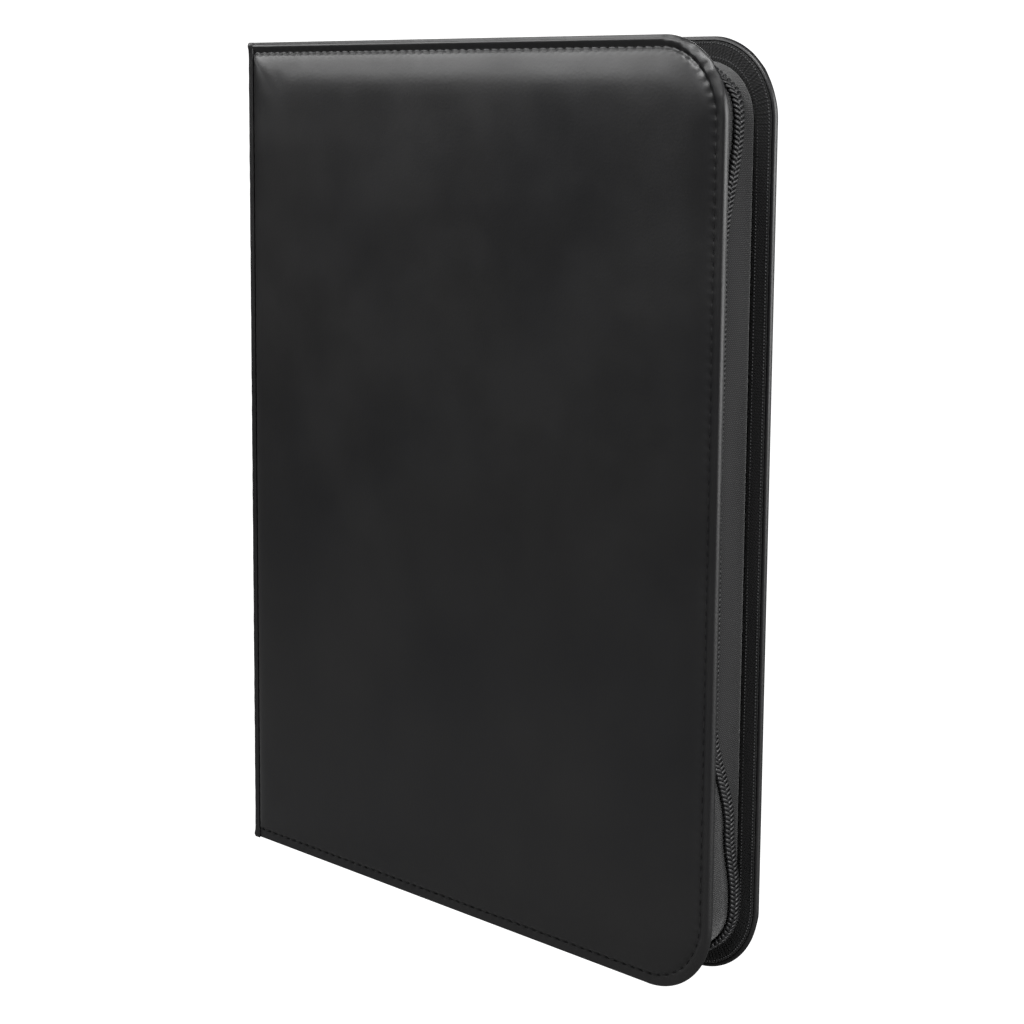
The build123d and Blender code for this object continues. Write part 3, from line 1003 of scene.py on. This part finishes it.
def build_covers(leather, thread, foam, board):
    for label, side, seed in (("front", -1, 21), ("back", 1, 22)):
        body = f"{label}_cover"
        swell = simulated_padding(seed, leather)
        shell = cover_leather(f"{label}_cover_leather", side, leather, swell, seed)
        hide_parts(f"{label}_cover_skin")
        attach(shell, body)
        pad = inner_layer(f"{label}_cover_padding", side, foam, BOARD_TOP + 0.03, BOARD_TOP + 0.06, True)
        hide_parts(f"{label}_cover_foam")
        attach(pad, body)
        stiffener = inner_layer(f"{label}_cover_stiffener", side, board, LINING + 0.03, BOARD_TOP, False)
        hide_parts(f"{label}_cover_board")
        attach(stiffener, body)
        row = stitches(f"{label}_cover_threads", side, thread, seed + 40)
        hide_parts(f"{label}_cover_stitching")
        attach(row, body)


def build_spine(leather):
    spine = spine_leather(leather)
    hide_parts("spine_skin")
    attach(spine, "spine")
    for label, side, seed in (("front", -1, 31), ("back", 1, 32)):
        fold = fold_leather(f"{label}_fold_leather", side, leather, seed)
        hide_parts(f"{label}_fold_skin")
        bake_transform(fold)


# The wall and flange cloths are lit and shaded copies of one tape: painted light on the wall, painted shade
# on the flange.
def build_zipper(painted_light_wall_cloth, painted_shade_flange_cloth, knot, coil):
    for label, side, seed in (("front", -1, 51), ("back", 1, 52)):
        body = f"{label}_cover"
        wall = tape_wall(f"{label}_zipper_wall", side, painted_light_wall_cloth, seed)
        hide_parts(f"{label}_zipper_tape")
        flange = tape_flange(f"{label}_zipper_flange", side, painted_shade_flange_cloth, seed + 4)
        for fabric in (wall, flange):
            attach(fabric, body)
        knots = knot_rows(f"{label}_tape_knots", side, knot, (2.5, 7.5))
        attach(knots, body)
        chain = coil_half(f"{label}_zipper_chain", side, coil)
        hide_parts(f"{label}_zipper_coil")
        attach(chain, body)


def dress_frame(board):
    """Procedural finishes for the CAD nodes that stay in view."""
    lining = cloth_by_object("lining_cloth", (0.016, 0.016, 0.017), (0.045, 0.045, 0.047))
    metal = metal_material()
    strip = plastic_material("binding_plastic", (0.013, 0.013, 0.014), 0.42)
    finishes = {"zipper_end_stop": lining, "spine_lining": lining, "spine_board": board,
                "binding_strip": strip, "slider_body": metal, "slider_bail": metal, "pull_tab": metal}
    for label in ("front", "back"):
        finishes[f"{label}_cover_lining"] = lining
        finishes[f"{label}_zipper_top_stop"] = metal
    for node, material in finishes.items():
        piece = frame["nodes"][node]
        piece.data.materials.clear()
        piece.data.materials.append(material)


# -------------------- studio

FLOOR_SIZE = 8.0
FLOOR_GAP = 0.3
WORLD_LEVEL = 0.026
WHITE_LEVEL = 1.2
FLOOR_GREY = 0.075
# Colour of the painted pool of light in the middle of the floor.
FLOOR_PAINTED_POOL = 0.16
CAMERA_PLACE = (613.748, -607.373, 326.121)  # millimetres, as every size here
CAMERA_TURN = 44.642  # degrees, as are the two below
CAMERA_DOWN = 7.995
CAMERA_ROLL = 0.445
LENS = 77.14
LENS_SHIFT = -0.1


def split_by_camera(tree, around, seen, surface):
    """Show one shader to the camera, and let another light and be mirrored in the binder."""
    path = tree.nodes.new("ShaderNodeLightPath")
    choose = tree.nodes.new("ShaderNodeMixShader")
    for source, socket in ((path.outputs["Is Camera Ray"], 0), (around, 1), (seen, 2)):
        tree.links.new(source, choose.inputs[socket])
    tree.links.new(choose.outputs["Shader"], surface)


def studio():
    """Floor that looks white to the camera and is dark for everything else, so that black stays black, with
    a painted pool of light: its colour is lighter under the binder.
    """
    material, tree, shader = node_material("paper", (FLOOR_GREY, FLOOR_GREY, FLOOR_GREY), 0.9)
    shader.inputs["Specular IOR Level"].default_value = 0.1
    # Painted pool of light: the floor's colour rises to a lighter grey towards its middle, under the binder.
    spread = tree.nodes.new("ShaderNodeTexGradient")
    spread.gradient_type = "SPHERICAL"
    tree.links.new(tree.nodes.new("ShaderNodeTexCoord").outputs["Object"], spread.inputs["Vector"])
    painted_light_pool = ramp(tree, spread.outputs["Fac"], FLOOR_GREY, FLOOR_PAINTED_POOL, (0.4, 0.85))
    tree.links.new(painted_light_pool, shader.inputs["Base Color"])
    glow = tree.nodes.new("ShaderNodeEmission")
    glow.inputs["Strength"].default_value = WHITE_LEVEL
    surface = tree.nodes["Material Output"].inputs["Surface"]
    split_by_camera(tree, shader.outputs["BSDF"], glow.outputs["Emission"], surface)
    half = FLOOR_SIZE / 2 / MM
    corners = [(x, y, -FLOOR_GAP) for x, y in ((-half, -half), (half, -half), (half, half), (-half, half))]
    floor = add_mesh("floor", corners, [(0, 1, 2, 3)], material, smooth=False)


def world():
    """White background for the camera, and a faint even light for the binder."""
    scene = bpy.context.scene
    scene.world = bpy.data.worlds.new("studio")
    scene.world.use_nodes = True
    tree = scene.world.node_tree
    for node in list(tree.nodes):
        tree.nodes.remove(node)
    levels = []
    for strength in (WORLD_LEVEL, WHITE_LEVEL):
        level = tree.nodes.new("ShaderNodeBackground")
        level.inputs["Color"].default_value = (1, 1, 1, 1)
        level.inputs["Strength"].default_value = strength
        levels.append(level.outputs["Background"])
    output = tree.nodes.new("ShaderNodeOutputWorld")
    split_by_camera(tree, *levels, output.inputs["Surface"])


def softbox(name, place, aim, width, height, watts):
    light = bpy.data.lights.new(name, "AREA")
    light.shape = "RECTANGLE"
    light.size, light.size_y = width, height
    light.energy = watts
    lamp = bpy.data.objects.new(name, light)
    lamp.location = place
    lamp.rotation_euler = (Vector(aim) - Vector(place)).to_track_quat("-Z", "Y").to_euler()
    lamp.visible_camera = False
    bpy.context.scene.collection.objects.link(lamp)


def camera():
    """The photograph's view: a long lens beyond the fore edge, looking down a little."""
    data = bpy.data.cameras.new("photo")
    data.sensor_width = 36.0
    data.lens = LENS
    data.shift_y = LENS_SHIFT
    lens = bpy.data.objects.new("photo", data)
    aim = Matrix.Translation(Vector(CAMERA_PLACE) * MM)
    for angle, axis in ((CAMERA_TURN, "Z"), (90 - CAMERA_DOWN, "X"), (CAMERA_ROLL, "Z")):
        aim = aim @ Matrix.Rotation(math.radians(angle), 4, axis)
    lens.matrix_world = aim
    bpy.context.scene.collection.objects.link(lens)
    bpy.context.scene.camera = lens


def lighting():
    world()
    centre = (0.0, 0.0, 0.18)
    softbox("overhead", (-1.0, -0.25, 1.7), (-0.5, 0, 0.35), 1.6, 0.6, 11)
    softbox("top_left", (-1.5, -1.2, 1.25), (0, 0, 0.33), 1.4, 0.9, 24)
    softbox("corner", (0.27, -0.95, 1.5), (0.12, 0, 0.33), 0.6, 0.5, 20)
    softbox("front_top", (-0.25, -1.25, 1.25), (0.12, 0, 0.33), 1.0, 0.7, 8)
    softbox("right", (1.6, -0.35, 0.35), centre, 0.9, 1.5, 44)
    softbox("rim", (1.3, 1.2, 0.35), centre, 1.0, 1.0, 14)
    softbox("behind", (-1.2, 1.6, 1.0), centre, 1.6, 1.2, 24)
    bpy.context.scene.view_settings.view_transform = "Standard"
    bpy.context.scene.view_settings.look = "None"


leather, board = leatherette(), board_material()
build_covers(leather, thread_material(), plastic_material("foam", (0.05, 0.05, 0.052), 0.95, 2400.0), board)
build_spine(leather)
# One zipper tape in two colours: a lighter copy on the wall, which faces the right lamp, and a darker copy
# with less sheen on the flange, which faces the front. The wall's tone holds painted light and the flange's
# tone holds painted shade.
painted_light_wall_cloth = woven("zipper_tape", (0.0092, 0.0092, 0.0096), (0.0235, 0.0235, 0.0243), 420.0, 0.2)
painted_shade_flange_cloth = woven("zipper_flange", (0.0028, 0.0028, 0.003), (0.0095, 0.0095, 0.010), 300.0, 0.08)
selvedge = plastic_material("tape_selvedge", (0.020, 0.020, 0.021), 0.7)
build_zipper(painted_light_wall_cloth, painted_shade_flange_cloth, selvedge, coil_material())
page, clear_film = page_material(), film_material()
for leaf_number in range(1, 21):
    leaf_pieces(leaf_number, page, clear_film)
dress_frame(board)
studio()
lighting()
camera()
